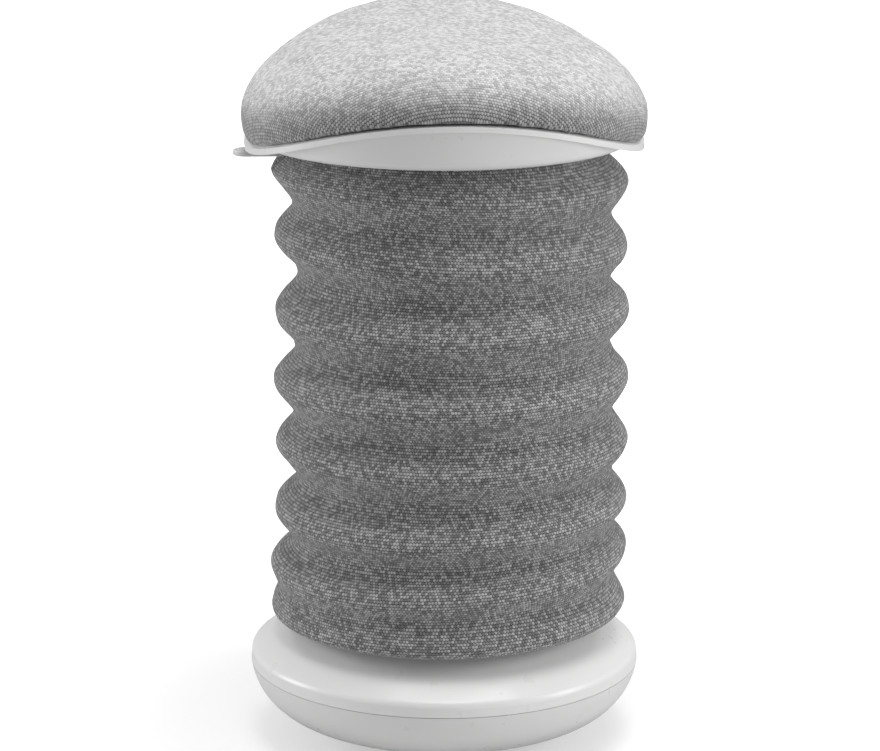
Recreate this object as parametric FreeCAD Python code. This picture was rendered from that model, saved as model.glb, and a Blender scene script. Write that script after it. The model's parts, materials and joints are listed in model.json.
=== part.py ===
import FreeCAD, Part

import math
import os

# Wobble stool: a weighted base with a convex underside, a gas column, a ribbed
# fabric bellows and a saddle seat. Millimetres, +Z up, the floor at Z = 0 and
# the column's axis on Z. The sitter faces -Y and the release lever is on -X.

# Clearances
GAP = 0.3                 # between pieces that move apart, and around soft pieces
RUNNING = 0.05            # radial clearance of a shaft that turns or slides
NEST = 0.1                # between curved pieces that lie on each other

# Base shell and cover
BASE_R = 177.0            # largest radius, at the seam
SEAM_Z = 69.0             # top of the lower shell
SEAM_GAP = 0.5            # shadow line between lower shell and cover
SIDE_LEAN = 7.5           # degrees that the wall leans in just below the seam
BILGE_R = 57.0            # rounding between wall and rocker
ROCKER_SLOPE = 22.0       # degrees, slope of the rocker where the bilge begins
SHELL_BOTTOM_Z = 2.0      # flat under the lower shell
SHELL_WALL = 4.0
FLOOR_Z = 9.0             # inside floor of the lower shell
SPIGOT_H = 5.0            # lip of the lower shell that centres the cover
SPIGOT_WALL = 2.0
COVER_WALL = 3.5
SHOULDER_INSET = 0.7      # the cover's wall leans in by this up to its shoulder
SHOULDER_R = BASE_R - SHOULDER_INSET
SHOULDER_ROUND = 8.0
DOME_SLOPE_LOW = 36.0     # degrees, slope of the dome at the shoulder
DOME_SLOPE_TOP = 30.0     # degrees, slope of the dome at the cuff
COVER_TOP_R = 134.0       # where the dome ends under the sleeve's cuff
COVER_TOP_Z = 108.5
COLLAR_R = 128.0          # collar that centres the sleeve's lower ring
COLLAR_WALL = 3.5
COLLAR_H = 9.5
NECK_H = 18.0             # length of the cover's neck around the column
NECK_WALL = 3.5

# Screws that join cover and lower shell
BASE_SCREW_COUNT = 6
BASE_SCREW_INSET = 27.0
BASE_SCREW_PCR = BASE_R - BASE_SCREW_INSET
BASE_BOSS_R = 7.0
BASE_BOSS_TOP_Z = 62.0
BASE_SCREW_SEAT_Z = 40.0
BASE_SCREW_R = 2.0
BASE_SCREW_HEAD_R = 4.2
BASE_SCREW_HEAD_H = 3.0
BASE_SCREW_TOP_Z = 82.0

# Foot, ballast and hub
FOOT_R = 60.0
FOOT_H = 4.0
FOOT_EDGE = 1.2
BALLAST_INSET = 45.0
BALLAST_R = BASE_R - BALLAST_INSET
BALLAST_TOP_Z = 30.0
BALLAST_LIFT = 1.0        # sloping underside clear of the lower shell
HUB_R = 31.0
HUB_TOP_Z = 78.0
HUB_FLANGE_R = 62.0
HUB_FLANGE_H = 6.0
HUB_BOLT_COUNT = 4
HUB_BOLT_PCR = 48.0
HUB_BOLT_R = 3.0
HUB_BOLT_HEAD_R = 5.5
HUB_BOLT_HEAD_H = 4.5
HUB_BOLT_BITE = 3.5       # depth of the bolts in the shell's floor

# Gas column
COLUMN_R = 25.0
COLUMN_WALL = 2.0
COLUMN_BOTTOM_Z = 12.0
COLUMN_TOP_Z = 340.0
COLUMN_FOOT_R = 24.2      # radius at the tapered foot
END_PLATE_Z = 22.0
END_PLATE_H = 4.0
RACE_H = 2.0
RACE_R = 13.0
BALL_R = 1.5
BALL_COUNT = 8
BALL_PCR = 9.5
BUFFER_H = 15.0
ROD_R = 5.0
ROD_END = 5.0             # rod below the end plate
CLIP_H = 1.4
CLIP_R = 9.0
CLIP_GROOVE = 0.8
BUSH_LENGTH = 78.0
BUSH_FLANGE_H = 3.0
CYLINDER_R = 14.0
CYLINDER_WALL = 1.5
CYLINDER_BOTTOM_Z = 265.0
CYLINDER_TOP_Z = 525.0
CYLINDER_NOSE_H = 20.0    # solid top of the cylinder, around the valve
CONE_BOTTOM_Z = 480.0
CONE_TOP_R = 13.4
HEAD_H = 14.0
PISTON_H = 10.0
PISTON_TOP_GAP = 3.0      # room under the piston when the seat is at its highest
PISTON_NUT_R = 8.0
PISTON_NUT_H = 5.0
VALVE_R = 3.0

# Seat plate, its socket and the lever
SOCKET_R = 19.0
SOCKET_TOP_Z = 527.0
PLATE_T = 3.0
PLATE_X = 80.0            # half length of the flange
PLATE_Y = 60.0            # half width of the flange
TRAY_X = 55.0
TRAY_Y = 38.0
TRAY_BOTTOM_Z = 503.0
CORNER_R = 8.0
BOLT_X = 66.0
BOLT_Y = 46.0
BOLT_R = 4.0
BOLT_HEAD_R = 7.0
BOLT_HEAD_H = 5.5
BOSS_R = 9.0
LEVER_DROP = 10.0         # the lever's middle below the seat shell
LEVER_PIVOT_X = -42.0
LEVER_SWING = 2.0         # degrees
LEVER_BAR_W = 12.0
LEVER_BAR_T = 3.2
LEVER_INNER_X = 6.0
LEVER_BAR_END_X = -150.0
PIVOT_R = 3.0
PIVOT_BARREL_R = 5.0
PADDLE_TIP_X = -187.0
PADDLE_ROOT_X = -122.0
PADDLE_W = 26.0
PADDLE_T = 5.0
PADDLE_EDGE = 1.5

# Seat shell
SHELL_R = 177.0
HULL_BOTTOM_Z = 548.0
HULL_TURN_R = 10.0
HULL_DRAFT = 12.0         # degrees that the hull's wall leans outwards
HULL_INSET = 7.0          # wall inside the rim where the turn ends
HULL_WALL = 3.0
RIM_FRONT_Z = 587.5       # rim at the front centre
RIM_TILT = 5.0            # degrees, the rim rises to the rear
ARCH_R = 320.0            # saddle arch of rim and board
LIP_T = 4.5
LIP_INNER_R = 145.0
RIB_T = 3.0
SHELL_SCREW_COUNT = 4
SHELL_SCREW_PCR = 125.0
SHELL_SCREW_R = 2.0
SHELL_SCREW_HEAD_R = 4.0
SHELL_SCREW_HEAD_H = 2.5
SHELL_BOSS_R = 6.0
SHELL_SCREW_BITE = 7.0    # depth in the board

# Board and cushion
BOARD_R = 156.0
BOARD_T = 10.0
NUT_FLANGE_R = 9.0
NUT_FLANGE_T = 1.5
NUT_BARREL_R = 5.0
CUSHION_R = 180.0
CROWN_Z = 647.5           # top of the cushion over the column's axis
CROWN_TILT = 5.0          # degrees, the top rises to the rear
CROWN_R = 373.0           # saddle arch of the top
CUSHION_TOP_ROUND = 36.0
CUSHION_BOTTOM_ROUND = 6.0

# Bellows sleeve and its rings
SLEEVE_T = 1.6
SLEEVE_BOTTOM_Z = 109.3
SLEEVE_TOP_GAP = 0.5      # under the seat shell
LOW_RING_WALL = 3.1
HIGH_RING_R = 133.0
HIGH_RING_WALL = 3.5
HIGH_RING_BOTTOM_Z = 522.0
LIFT_TRAVEL = 130.0       # how far the seat comes down
HIGH_RING_FLANGE = 15.0   # width of the flange under the seat shell
RIB_COUNT = 8
RIB_LOW_Z = 124.0         # lowest hoop
RIB_HIGH_Z = 516.5        # highest hoop
RIB_SAG = 0.33            # how far the lower hoops settle towards the base
RIDGE_R = 160.0
RIDGE_H = 9.0
VALLEY_R = 142.5
VALLEY_FILL = 15.0        # how much fuller the lowest valleys are
VALLEY_SHARE = 0.3        # share of a bay that stays at the valley's radius
CUFF_H = 2.5
HOOP_WIRE_R = 1.5

FAR = 400.0               # reach of cutting tools beyond the part
UP = FreeCAD.Vector(0, 0, 1)


def vec(x, y, z):
    return FreeCAD.Vector(x, y, z)


def polar(radius, degrees):
    angle = math.radians(degrees)
    return radius * math.cos(angle), radius * math.sin(angle)


def ring_places(count, radius, first_degrees):
    return [polar(radius, first_degrees + 360.0 * i / count) for i in range(count)]


def box(x0, x1, y0, y1, z0, z1):
    return Part.makeBox(x1 - x0, y1 - y0, z1 - z0, vec(x0, y0, z0))


def rod(radius, z0, z1, x=0.0, y=0.0):
    return Part.makeCylinder(radius, z1 - z0, vec(x, y, z0), UP)


def pipe(outer, inner, z0, z1, x=0.0, y=0.0):
    return rod(outer, z0, z1, x, y).cut(rod(inner, z0 - 1, z1 + 1, x, y))


def cone(r0, z0, r1, z1):
    return Part.makeCone(r0, r1, z1 - z0, vec(0, 0, z0), UP)


def arc_step(centre_r, centre_z, radius, from_degrees, to_degrees):
    """Middle and end of an arc in the profile plane, angles from +R towards +Z."""
    middle = math.radians((from_degrees + to_degrees) / 2)
    last = math.radians(to_degrees)
    return (
        (centre_r + radius * math.cos(middle), centre_z + radius * math.sin(middle)),
        (centre_r + radius * math.cos(last), centre_z + radius * math.sin(last)),
    )


def turned(start, *steps):
    """Solid of revolution: a step is a corner (r, z), or an arc's middle and end."""
    edges = []
    here = vec(start[0], 0, start[1])
    for step in steps + (start,):
        if isinstance(step[0], tuple):
            middle = vec(step[0][0], 0, step[0][1])
            there = vec(step[1][0], 0, step[1][1])
            edges.append(Part.Arc(here, middle, there).toShape())
        else:
            there = vec(step[0], 0, step[1])
            edges.append(Part.LineSegment(here, there).toShape())
        here = there
    face = Part.Face(Part.Wire(edges))
    return face.revolve(vec(0, 0, 0), UP, 360)


def upright_edges(shape):
    found = []
    for edge in shape.Edges:
        ends = [v.Point for v in edge.Vertexes]
        if len(ends) == 2 and abs(ends[0].x - ends[1].x) + abs(ends[0].y - ends[1].y) < 1e-6:
            found.append(edge)
    return found


def rounded_box(half_x, half_y, z0, z1, corner):
    block = box(-half_x, half_x, -half_y, half_y, z0, z1)
    return block.makeFillet(corner, upright_edges(block))


def joined(pieces):
    first, *rest = pieces
    return first.fuse(rest).removeSplitter() if rest else first


def save(name, shape):
    shape.exportStep("parts/" + name + ".step")
    print(name, "solids", len(shape.Solids), "volume", round(shape.Volume), "valid", shape.isValid())


# Base


def rocker_profile(offset):
    """Arcs of the rocker and the bilge, moved inwards by offset."""
    lean = math.radians(SIDE_LEAN)
    slope = math.radians(ROCKER_SLOPE)
    bilge_r = BASE_R - BILGE_R * math.cos(lean)
    bilge_z = SEAM_Z + BILGE_R * math.sin(lean)
    rocker_radius = bilge_r / math.sin(slope) + BILGE_R
    rocker_z = bilge_z + (rocker_radius - BILGE_R) * math.cos(slope)
    return bilge_r, bilge_z, BILGE_R - offset, rocker_z, rocker_radius - offset


def rocker_form(offset, bottom_z):
    """The lower shell's filled form, moved inwards by offset and open upwards."""
    bilge_r, bilge_z, bilge_radius, rocker_z, rocker_radius = rocker_profile(offset)
    flat_r = math.sqrt(rocker_radius ** 2 - (rocker_z - bottom_z) ** 2)
    flat_angle = -math.degrees(math.acos(flat_r / rocker_radius))
    joint_angle = ROCKER_SLOPE - 90
    rocker = arc_step(0, rocker_z, rocker_radius, flat_angle, joint_angle)
    bilge = arc_step(bilge_r, bilge_z, bilge_radius, joint_angle, -SIDE_LEAN)
    wall_r = bilge[1][0]
    return turned((0, bottom_z), (flat_r, bottom_z), rocker, bilge, (wall_r, FAR), (0, FAR))


def below(z):
    return rod(FAR, -FAR, z)


def base_lower_shell():
    outside = rocker_form(0, SHELL_BOTTOM_Z)
    shell = outside.common(below(SEAM_Z)).cut(rocker_form(SHELL_WALL, FLOOR_Z))
    spigot_r = SHOULDER_R - COVER_WALL - GAP
    spigot = pipe(spigot_r, spigot_r - SPIGOT_WALL, SEAM_Z - 2 * SPIGOT_H, SEAM_Z + SPIGOT_H)
    bosses = [rod(BASE_BOSS_R, SHELL_BOTTOM_Z, BASE_BOSS_TOP_Z, x, y).common(outside)
              for x, y in ring_places(BASE_SCREW_COUNT, BASE_SCREW_PCR, 30)]
    shell = joined([shell, spigot] + bosses)
    for x, y in ring_places(BASE_SCREW_COUNT, BASE_SCREW_PCR, 30):
        shell = shell.cut(rod(BASE_SCREW_HEAD_R + GAP, 0, BASE_SCREW_SEAT_Z, x, y))
        shell = shell.cut(rod(BASE_SCREW_R + NEST, 0, BASE_BOSS_TOP_Z + 1, x, y))
    for x, y in ring_places(HUB_BOLT_COUNT, HUB_BOLT_PCR, 45):
        shell = shell.cut(rod(HUB_BOLT_R, FLOOR_Z - HUB_BOLT_BITE, FLOOR_Z + 1, x, y))
    return shell.cut(rod(FOOT_R + NEST, 0, FOOT_H))


def foot_pad():
    pad = rod(FOOT_R, 0, FOOT_H)
    lower_rim = [e for e in pad.Edges if e.BoundBox.ZMax < 1e-6]
    return pad.makeChamfer(FOOT_EDGE, lower_rim)


def dome_arcs(offset):
    """Shoulder and dome of the cover, moved inwards by offset, from skirt to cuff."""
    low = 90 - DOME_SLOPE_LOW
    top = 90 - DOME_SLOPE_TOP
    reach_r = math.cos(math.radians(low)) - math.cos(math.radians(top))
    reach_z = math.sin(math.radians(top)) - math.sin(math.radians(low))
    round_r = SHOULDER_R - SHOULDER_ROUND
    round_end_r = round_r + SHOULDER_ROUND * math.cos(math.radians(low))
    dome_radius = (round_end_r - COVER_TOP_R) / reach_r
    round_end_z = COVER_TOP_Z - dome_radius * reach_z
    round_z = round_end_z - SHOULDER_ROUND * math.sin(math.radians(low))
    dome_r = round_end_r - dome_radius * math.cos(math.radians(low))
    dome_z = round_end_z - dome_radius * math.sin(math.radians(low))
    shoulder = arc_step(round_r, round_z, SHOULDER_ROUND - offset, 0, low)
    dome = arc_step(dome_r, dome_z, dome_radius - offset, low, top)
    return round_z, shoulder, dome


def cover_form(offset, bottom_z):
    skirt_z, shoulder, dome = dome_arcs(offset)
    return turned((0, bottom_z), (BASE_R - offset, bottom_z), (SHOULDER_R - offset, skirt_z),
                  shoulder, dome, (0, dome[1][1]))


def base_top_cover():
    outside = cover_form(0, SEAM_Z + SEAM_GAP)
    cover = outside.cut(cover_form(COVER_WALL, SEAM_Z + SEAM_GAP))
    under_z = COVER_TOP_Z - COVER_WALL
    collar = pipe(COLLAR_R, COLLAR_R - COLLAR_WALL, under_z + 1, COVER_TOP_Z + COLLAR_H)
    hole_r = COLUMN_R + GAP
    neck = pipe(hole_r + NECK_WALL, hole_r, COVER_TOP_Z - NECK_H, COVER_TOP_Z)
    boss_form = cover_form(0, BASE_BOSS_TOP_Z)
    bosses = [rod(BASE_BOSS_R, BASE_BOSS_TOP_Z, COVER_TOP_Z, x, y).common(boss_form)
              for x, y in ring_places(BASE_SCREW_COUNT, BASE_SCREW_PCR, 30)]
    cover = joined([cover, collar, neck] + bosses)
    for x, y in ring_places(BASE_SCREW_COUNT, BASE_SCREW_PCR, 30):
        cover = cover.cut(rod(BASE_SCREW_R, BASE_BOSS_TOP_Z - 1, BASE_SCREW_TOP_Z + 1, x, y))
    return cover.cut(rod(hole_r, 0, COVER_TOP_Z + 1))


def screw(x, y, z_seat, z_tip, shank_r, head_r, head_h):
    """A screw from below: its head hangs under z_seat and its shank rises to z_tip."""
    return rod(head_r, z_seat - head_h, z_seat, x, y).fuse(rod(shank_r, z_seat, z_tip, x, y))


def base_screws():
    return Part.makeCompound([
        screw(x, y, BASE_SCREW_SEAT_Z, BASE_SCREW_TOP_Z, BASE_SCREW_R, BASE_SCREW_HEAD_R, BASE_SCREW_HEAD_H)
        for x, y in ring_places(BASE_SCREW_COUNT, BASE_SCREW_PCR, 30)])


def ballast_ring():
    rocker_z, rocker_radius = rocker_profile(SHELL_WALL)[3:]
    seat_r = math.sqrt(rocker_radius ** 2 - (rocker_z - FLOOR_Z) ** 2) - BALLAST_LIFT
    edge_z = rocker_z - math.sqrt(rocker_radius ** 2 - BALLAST_R ** 2) + BALLAST_LIFT
    ring = turned((HUB_R + GAP, FLOOR_Z), (seat_r, FLOOR_Z), (BALLAST_R, edge_z),
                  (BALLAST_R, BALLAST_TOP_Z), (HUB_R + GAP, BALLAST_TOP_Z))
    for x, y in ring_places(HUB_BOLT_COUNT, HUB_BOLT_PCR, 45):
        ring = ring.cut(rod(HUB_BOLT_R + GAP, 0, FAR, x, y))
    return ring


def hub_socket():
    flange_top = BALLAST_TOP_Z + HUB_FLANGE_H
    hub = rod(HUB_R, FLOOR_Z, HUB_TOP_Z).fuse(rod(HUB_FLANGE_R, BALLAST_TOP_Z, flange_top))
    hub = hub.removeSplitter().cut(column_outside())
    for x, y in ring_places(HUB_BOLT_COUNT, HUB_BOLT_PCR, 45):
        hub = hub.cut(rod(HUB_BOLT_R + NEST, BALLAST_TOP_Z - 1, flange_top + 1, x, y))
    return hub.cut(rod(COLUMN_FOOT_R, FLOOR_Z - 1, COLUMN_BOTTOM_Z))


def hub_bolts():
    seat_z = BALLAST_TOP_Z + HUB_FLANGE_H
    bolts = []
    for x, y in ring_places(HUB_BOLT_COUNT, HUB_BOLT_PCR, 45):
        head = rod(HUB_BOLT_HEAD_R, seat_z, seat_z + HUB_BOLT_HEAD_H, x, y)
        bolts.append(head.fuse(rod(HUB_BOLT_R, FLOOR_Z - HUB_BOLT_BITE, seat_z, x, y)))
    return Part.makeCompound(bolts)


# Gas column


def column_outside():
    foot = cone(COLUMN_FOOT_R, COLUMN_BOTTOM_Z, COLUMN_R, HUB_TOP_Z)
    return foot.fuse(rod(COLUMN_R, HUB_TOP_Z, COLUMN_TOP_Z))


def column_tube():
    bore_r = COLUMN_R - COLUMN_WALL
    plate_top = END_PLATE_Z + END_PLATE_H
    tube = column_outside().cut(rod(bore_r, plate_top, COLUMN_TOP_Z + 1))
    tube = tube.cut(rod(COLUMN_FOOT_R - COLUMN_WALL, 0, END_PLATE_Z))
    return tube.cut(rod(ROD_R + RUNNING, 0, COLUMN_TOP_Z))


def guide_bush():
    bush = rod(COLUMN_R - COLUMN_WALL, COLUMN_TOP_Z - BUSH_LENGTH, COLUMN_TOP_Z)
    bush = bush.fuse(rod(COLUMN_R, COLUMN_TOP_Z, COLUMN_TOP_Z + BUSH_FLANGE_H)).removeSplitter()
    return bush.cut(rod(CYLINDER_R + RUNNING, 0, FAR))


def race_bottom_z():
    return END_PLATE_Z + END_PLATE_H


def ball_bottom_z():
    return race_bottom_z() + RACE_H


def upper_race_z():
    return ball_bottom_z() + 2 * BALL_R + RUNNING


def lower_race():
    return pipe(RACE_R, ROD_R + GAP, race_bottom_z(), ball_bottom_z())


def bearing_balls():
    centre_z = ball_bottom_z() + BALL_R
    return Part.makeCompound([Part.makeSphere(BALL_R, vec(x, y, centre_z))
                              for x, y in ring_places(BALL_COUNT, BALL_PCR, 0)])


def upper_race():
    return pipe(RACE_R, ROD_R, upper_race_z(), upper_race_z() + RACE_H)


def rubber_buffer():
    z0 = upper_race_z() + RACE_H
    waist = arc_step(RACE_R + 2 * BUFFER_H, z0 + BUFFER_H / 2, 2 * BUFFER_H, 194, 166)
    lower_edge = (RACE_R + 2 * BUFFER_H * (1 + math.cos(math.radians(194))), z0)
    upper_edge = (lower_edge[0], z0 + BUFFER_H)
    return turned((ROD_R, z0), lower_edge, (waist[0], upper_edge), (ROD_R, z0 + BUFFER_H))


def clip_bottom_z():
    return END_PLATE_Z - 2 * GAP - CLIP_H


def piston_bottom_z():
    return CYLINDER_BOTTOM_Z + HEAD_H + PISTON_TOP_GAP


def piston_rod():
    top_z = piston_bottom_z() + PISTON_H + PISTON_NUT_H + 1
    bar = rod(ROD_R, END_PLATE_Z - ROD_END, top_z)
    groove = pipe(ROD_R + 1, ROD_R - CLIP_GROOVE, clip_bottom_z(), clip_bottom_z() + CLIP_H)
    return bar.cut(groove)


def retaining_clip():
    clip = pipe(CLIP_R, ROD_R - CLIP_GROOVE, clip_bottom_z(), clip_bottom_z() + CLIP_H)
    return clip.cut(box(0, CLIP_R + 1, -ROD_R / 2, ROD_R / 2, 0, END_PLATE_Z))


def piston():
    z0 = piston_bottom_z()
    bore_r = CYLINDER_R - CYLINDER_WALL
    disc = rod(bore_r - RUNNING, z0, z0 + PISTON_H)
    nut = rod(PISTON_NUT_R, z0 + PISTON_H, z0 + PISTON_H + PISTON_NUT_H)
    return disc.fuse(nut).removeSplitter().cut(rod(ROD_R, 0, FAR))


def cylinder_outside(extra_top=0.0):
    body = rod(CYLINDER_R, CYLINDER_BOTTOM_Z, CONE_BOTTOM_Z)
    nose = cone(CYLINDER_R, CONE_BOTTOM_Z, CONE_TOP_R, CYLINDER_TOP_Z)
    outside = body.fuse(nose)
    if extra_top:
        outside = outside.fuse(rod(CONE_TOP_R, CYLINDER_TOP_Z, CYLINDER_TOP_Z + extra_top))
    return outside


def gas_cylinder():
    bore = rod(CYLINDER_R - CYLINDER_WALL, CYLINDER_BOTTOM_Z - 1, CYLINDER_TOP_Z - CYLINDER_NOSE_H)
    valve_hole = rod(VALVE_R + RUNNING, CYLINDER_BOTTOM_Z, CYLINDER_TOP_Z + 1)
    return cylinder_outside().cut(bore).cut(valve_hole)


def cylinder_head():
    bore_r = CYLINDER_R - CYLINDER_WALL
    return pipe(bore_r, ROD_R + RUNNING, CYLINDER_BOTTOM_Z, CYLINDER_BOTTOM_Z + HEAD_H)


def lever_z():
    return HULL_BOTTOM_Z - LEVER_DROP


def lever_underside_z():
    return lever_z() - LEVER_BAR_T / 2


def valve_pin():
    top_z = lever_underside_z() - NEST
    pin = rod(VALVE_R, CYLINDER_TOP_Z - CYLINDER_NOSE_H, top_z)
    top_rim = [e for e in pin.Edges if e.BoundBox.ZMin > top_z - 1e-6]
    return pin.makeFillet(VALVE_R / 3, top_rim)


# Seat plate and lever


def cone_socket():
    return rod(SOCKET_R, CONE_BOTTOM_Z, SOCKET_TOP_Z).cut(cylinder_outside(2 * PLATE_T))


def bolt_places():
    return [(sx * BOLT_X, sy * BOLT_Y) for sx in (-1, 1) for sy in (-1, 1)]


def seat_plate():
    top_z = HULL_BOTTOM_Z
    flange = rounded_box(PLATE_X, PLATE_Y, top_z - PLATE_T, top_z, 2 * CORNER_R)
    tray = rounded_box(TRAY_X, TRAY_Y, TRAY_BOTTOM_Z, top_z, CORNER_R)
    hollow = rounded_box(TRAY_X - PLATE_T, TRAY_Y - PLATE_T, TRAY_BOTTOM_Z + PLATE_T, top_z + 1,
                         CORNER_R - PLATE_T)
    plate = flange.fuse(tray).removeSplitter().cut(hollow).cut(rod(SOCKET_R, 0, FAR * 2))
    slot_y = LEVER_BAR_W / 2 + 2
    lever_slot = box(-PLATE_X - 1, LEVER_PIVOT_X, -slot_y, slot_y, SOCKET_TOP_Z, top_z + 1)
    plate = plate.cut(lever_slot)
    for x, y in bolt_places():
        plate = plate.cut(rod(BOLT_R + GAP, TRAY_BOTTOM_Z, top_z + 1, x, y))
    return plate.cut(pivot_pin_form(PIVOT_R))


def pivot_pin_form(radius):
    length = 2 * (TRAY_Y + 1)
    return Part.makeCylinder(radius, length, vec(LEVER_PIVOT_X, -length / 2, lever_z()), vec(0, 1, 0))


def lever_pivot_pin():
    return pivot_pin_form(PIVOT_R)


def release_lever():
    half_w = LEVER_BAR_W / 2
    z0 = lever_underside_z()
    bar = box(LEVER_BAR_END_X, LEVER_INNER_X, -half_w, half_w, z0, z0 + LEVER_BAR_T)
    bar = bar.makeFillet(half_w - GAP, upright_edges(bar))
    length = 2 * (TRAY_Y - PLATE_T - GAP)
    start = vec(LEVER_PIVOT_X, -length / 2, lever_z())
    barrel = Part.makeCylinder(PIVOT_BARREL_R, length, start, vec(0, 1, 0))
    return bar.fuse(barrel).removeSplitter().cut(pivot_pin_form(PIVOT_R + RUNNING))


def lever_paddle():
    half_w = PADDLE_W / 2
    z0 = lever_z() - PADDLE_T / 2
    z1 = lever_z() + PADDLE_T / 2
    tongue = box(PADDLE_TIP_X + half_w, PADDLE_ROOT_X, -half_w, half_w, z0, z1)
    tongue = tongue.fuse(rod(half_w, z0, z1, PADDLE_TIP_X + half_w, 0)).removeSplitter()
    flat_edges = [e for e in tongue.Edges if e.BoundBox.ZLength < 1e-6]
    tongue = tongue.makeFillet(PADDLE_EDGE, flat_edges)
    half_bar = LEVER_BAR_W / 2 + NEST
    bar_z = LEVER_BAR_T / 2 + NEST
    pocket = box(LEVER_BAR_END_X - NEST, PADDLE_ROOT_X + 1, -half_bar, half_bar,
                 lever_z() - bar_z, lever_z() + bar_z)
    return tongue.cut(pocket)


# Seat


def under_arch(radius, crest_z, tilt, lift=0.0):
    """Everything under a saddle arch, crest_z high over the axis and then raised by lift."""
    angle = math.radians(tilt)
    along = vec(0, math.cos(angle), math.sin(angle))
    start = vec(0, 0, crest_z - radius / math.cos(angle)) - along * FAR
    saddle = Part.makeCylinder(radius + lift, 2 * FAR, start, along)
    # Half a turn takes the cylinder's seam line away from the crest
    saddle.rotate(start, along, 180)
    return saddle


def rim_arch(lift):
    """Everything below the rim's saddle surface, raised by lift."""
    crest_z = RIM_FRONT_Z + SHELL_R * math.tan(math.radians(RIM_TILT))
    return under_arch(ARCH_R, crest_z, RIM_TILT, lift)


def hull_form(offset):
    """The bowl under the rim, moved inwards by offset and open upwards."""
    turn_r = SHELL_R - HULL_INSET - HULL_TURN_R
    turn_z = HULL_BOTTOM_Z + HULL_TURN_R
    turn = arc_step(turn_r, turn_z, HULL_TURN_R - offset, -90, -HULL_DRAFT)
    wall_r, wall_z = turn[1]
    top_r = wall_r + (2 * FAR - wall_z) * math.tan(math.radians(HULL_DRAFT))
    floor_z = HULL_BOTTOM_Z + offset
    return turned((0, floor_z), (turn_r, floor_z), turn, (top_r, 2 * FAR), (0, 2 * FAR))


def paddle_room():
    """Half width and ceiling of the channel that the paddle rises into."""
    rise = (SHELL_R + LEVER_PIVOT_X) * math.sin(math.radians(LEVER_SWING))
    return PADDLE_W / 2 + 2, lever_z() + PADDLE_T / 2 + rise + 2 * GAP


def seat_shell():
    room_y, ceiling_z = paddle_room()
    hollow = hull_form(HULL_WALL).common(seat_disc(SHELL_R - HULL_WALL)).common(rim_arch(-LIP_T))
    bowl = hull_form(0).cut(hollow).cut(rod(LIP_INNER_R, HULL_BOTTOM_Z + HULL_WALL, 2 * FAR))
    lip = pipe(SHELL_R + 1, LIP_INNER_R, TRAY_BOTTOM_Z, 2 * FAR).cut(rim_arch(-LIP_T))
    bosses = [rod(BOSS_R, HULL_BOTTOM_Z, 2 * FAR, x, y) for x, y in bolt_places()]
    bosses += [rod(SHELL_BOSS_R, HULL_BOTTOM_Z, 2 * FAR, x, y) for x, y in shell_screw_places()]
    shell = joined([bowl, lip] + bosses).common(rim_arch(0)).common(seat_disc(SHELL_R))
    for x, y in bolt_places():
        shell = shell.cut(rod(BOLT_R + GAP, 0, 2 * FAR, x, y))
    for x, y in shell_screw_places():
        shell = shell.cut(rod(SHELL_SCREW_R + NEST, 0, 2 * FAR, x, y))
    channel = box(-SHELL_R - 1, PADDLE_ROOT_X, -room_y, room_y, 0, ceiling_z)
    return shell.cut(channel)


def shell_screw_places():
    return ring_places(SHELL_SCREW_COUNT, SHELL_SCREW_PCR, 45)


def rim_z(x, y):
    """Height of the rim's saddle surface over a point of the plan."""
    angle = math.radians(RIM_TILT)
    crest_z = RIM_FRONT_Z + (SHELL_R + y) * math.tan(angle)
    return crest_z - (ARCH_R - math.sqrt(ARCH_R ** 2 - x ** 2)) / math.cos(angle)


def nut_seat_z(x, y):
    """Flat seat of a tee nut, cut into the board's top."""
    outer_x = abs(x) + NUT_FLANGE_R
    return rim_z(outer_x, y - NUT_FLANGE_R) + BOARD_T - NUT_FLANGE_T - GAP


def seat_disc(radius):
    """Upright disc from under the seat to far above it, for cutting with the saddle arches."""
    return rod(radius, TRAY_BOTTOM_Z, 2 * FAR)


def seat_board():
    board = seat_disc(BOARD_R).common(rim_arch(BOARD_T)).cut(rim_arch(NEST))
    for x, y in bolt_places():
        seat_z = nut_seat_z(x, y)
        board = board.cut(rod(NUT_FLANGE_R + NEST, seat_z, 2 * FAR, x, y))
        board = board.cut(rod(NUT_BARREL_R, 0, 2 * FAR, x, y))
    for x, y in shell_screw_places():
        board = board.cut(rod(SHELL_SCREW_R, 0, rim_z(x, y) + SHELL_SCREW_BITE + 1, x, y))
    return board


def tee_nuts():
    nuts = []
    for x, y in bolt_places():
        z = nut_seat_z(x, y)
        nut = rod(NUT_FLANGE_R, z, z + NUT_FLANGE_T, x, y)
        barrel_z = rim_z(abs(x) - NUT_BARREL_R, y + NUT_BARREL_R) + NEST + GAP
        nut = nut.fuse(rod(NUT_BARREL_R, barrel_z, z, x, y)).removeSplitter()
        nuts.append(nut.cut(rod(BOLT_R, 0, 2 * FAR, x, y)))
    return Part.makeCompound(nuts)


def plate_bolts():
    seat_z = HULL_BOTTOM_Z - PLATE_T
    return Part.makeCompound([
        screw(x, y, seat_z, nut_seat_z(x, y), BOLT_R, BOLT_HEAD_R, BOLT_HEAD_H)
        for x, y in bolt_places()])


def shell_screws():
    seat_z = HULL_BOTTOM_Z - PLATE_T
    screws = []
    for x, y in shell_screw_places():
        tip_z = rim_z(x, y) + SHELL_SCREW_BITE
        screws.append(screw(x, y, seat_z, tip_z, SHELL_SCREW_R, SHELL_SCREW_HEAD_R, SHELL_SCREW_HEAD_H))
    return Part.makeCompound(screws)


def rim_edges(shape):
    """Closed edges around the cushion, from the lowest to the highest."""
    rims = [e for e in shape.Edges if e.Length > 2 * CUSHION_R]
    return sorted(rims, key=lambda e: e.BoundBox.ZMax)


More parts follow.
